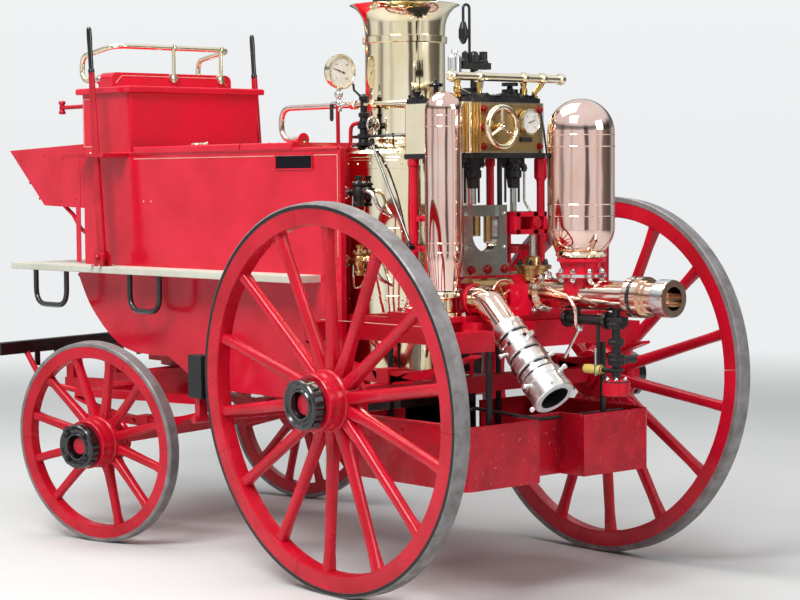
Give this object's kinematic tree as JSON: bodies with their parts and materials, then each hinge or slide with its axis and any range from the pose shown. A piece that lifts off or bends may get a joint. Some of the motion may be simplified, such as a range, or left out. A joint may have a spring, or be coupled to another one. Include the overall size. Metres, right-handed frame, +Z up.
{
  "type": "horse-drawn steam fire engine",
  "caption": "Horse-drawn steam fire engine: red hose-box body on spoked wheels with a turning fore-carriage, brass boiler, steam pump and copper air vessels.",
  "frame": {"origin": "middle of the overall length and width, on the ground", "axes": "+X towards the rear pump end, +Y towards the right of the engine, +Z up"},
  "size_m": [3.69, 1.6662, 2.15],
  "materials": {
    "red_paint_wood": "gloss",
    "red_paint_iron": "gloss",
    "black_iron": "satin",
    "brake_wood": "matt",
    "grey_board": "satin",
    "brass": "polished",
    "copper": "polished",
    "gunmetal": "satin",
    "bright_coupling": "satin",
    "tyre": "matt"
  },
  "bodies": {
    "carriage": {"air_vessel": "copper", "ash_pan": "black_iron", "bed_plate": "red_paint_iron", "block_fittings": "brass", "board_irons": "black_iron", "body_box": "red_paint_wood", "boiler_fittings": "black_iron", "boiler_shell": "brass", "box_stays": "black_iron", "brake_beam": "red_paint_iron", "brake_blocks": "brake_wood", "chimney": "brass", "chimney_cap": "black_iron", "columns": "red_paint_iron", "cylinder_block": "brass", "cylinder_covers": "black_iron", "delivery_pipe": "copper", "foot_boards": "grey_board", "foot_box": "red_paint_iron", "frame": "red_paint_iron", "piston_rods": "black_iron", "pressure_gauge": "brass", "pump_body": "gunmetal", "pump_valves": "black_iron", "rear_axle": "red_paint_iron", "rear_springs": "red_paint_iron", "seat_box": "red_paint_wood", "seat_rail": "brass", "side_irons": "red_paint_iron", "slide_frames": "gunmetal", "suction_coupling": "bright_coupling", "suction_elbow": "copper", "tall_vessel": "copper", "toe_board": "red_paint_wood", "top_pipe": "brass", "top_plate": "red_paint_iron", "vessel_base": "red_paint_iron"},
    "fore_carriage": {"fore_frame": "red_paint_iron", "front_axle": "red_paint_iron", "front_springs": "red_paint_iron", "splinter_bar": "black_iron"},
    "rear_left_wheel": {"rear_wheel_left": "red_paint_wood", "rear_tyre_left": "tyre", "rear_cap_left": "black_iron"},
    "rear_right_wheel": {"rear_wheel_right": "red_paint_wood", "rear_tyre_right": "tyre", "rear_cap_right": "black_iron"},
    "front_left_wheel": {"front_wheel_left": "red_paint_wood", "front_tyre_left": "tyre", "front_cap_left": "black_iron"},
    "front_right_wheel": {"front_wheel_right": "red_paint_wood", "front_tyre_right": "tyre", "front_cap_right": "black_iron"},
    "left_lid": {"hose_lid_left": "red_paint_wood"},
    "right_lid": {"hose_lid_right": "red_paint_wood"},
    "fire_door": {"fire_door": "black_iron"},
    "left_brake_lever": {"brake_lever_left": "red_paint_iron"},
    "right_brake_lever": {"brake_lever_right": "red_paint_iron"}
  },
  "joints": [
    {"name": "rear_left_spin", "type": "hinge", "parent": "carriage", "child": "rear_left_wheel", "pos_m": [0.885, -0.698, 0.68472], "axis": [0, 0.9981, 0.061], "continuous": true},
    {"name": "front_left_spin", "type": "hinge", "parent": "fore_carriage", "child": "front_left_wheel", "pos_m": [-0.61383, -0.67615, 0.40425], "axis": [-0.2583, 0.9641, 0.061], "continuous": true},
    {"name": "rear_right_spin", "type": "hinge", "parent": "carriage", "child": "rear_right_wheel", "pos_m": [0.885, 0.698, 0.68472], "axis": [0, 0.9981, -0.061], "continuous": true},
    {"name": "front_right_spin", "type": "hinge", "parent": "fore_carriage", "child": "front_right_wheel", "pos_m": [-0.97617, 0.67615, 0.40425], "axis": [-0.2583, 0.9641, -0.061], "continuous": true},
    {"name": "steering", "type": "hinge", "parent": "carriage", "child": "fore_carriage", "pos_m": [-0.795, 0, 0.69], "axis": [0, 0, 1], "range_deg": [-43, 13]},
    {"name": "left_lid_hinge", "type": "hinge", "parent": "carriage", "child": "left_lid", "pos_m": [-0.495, -0.003, 1.5863], "axis": [1, 0, 0], "range_deg": [-85, 0]},
    {"name": "right_lid_hinge", "type": "hinge", "parent": "carriage", "child": "right_lid", "pos_m": [-0.495, 0.003, 1.5863], "axis": [1, 0, 0], "range_deg": [0, 85]},
    {"name": "fire_door_hinge", "type": "hinge", "parent": "carriage", "child": "fire_door", "pos_m": [0.7545, 0, 0.838], "axis": [0, 1, 0], "range_deg": [-75, 0]},
    {"name": "left_brake_lever", "type": "hinge", "parent": "carriage", "child": "left_brake_lever", "pos_m": [-0.949, -0.425, 1.128], "axis": [0, 1, 0], "range_deg": [-20, 6]},
    {"name": "right_brake_lever", "type": "hinge", "parent": "carriage", "child": "right_brake_lever", "pos_m": [-0.949, 0.425, 1.128], "axis": [0, 1, 0], "range_deg": [-20, 6]}
  ]
}
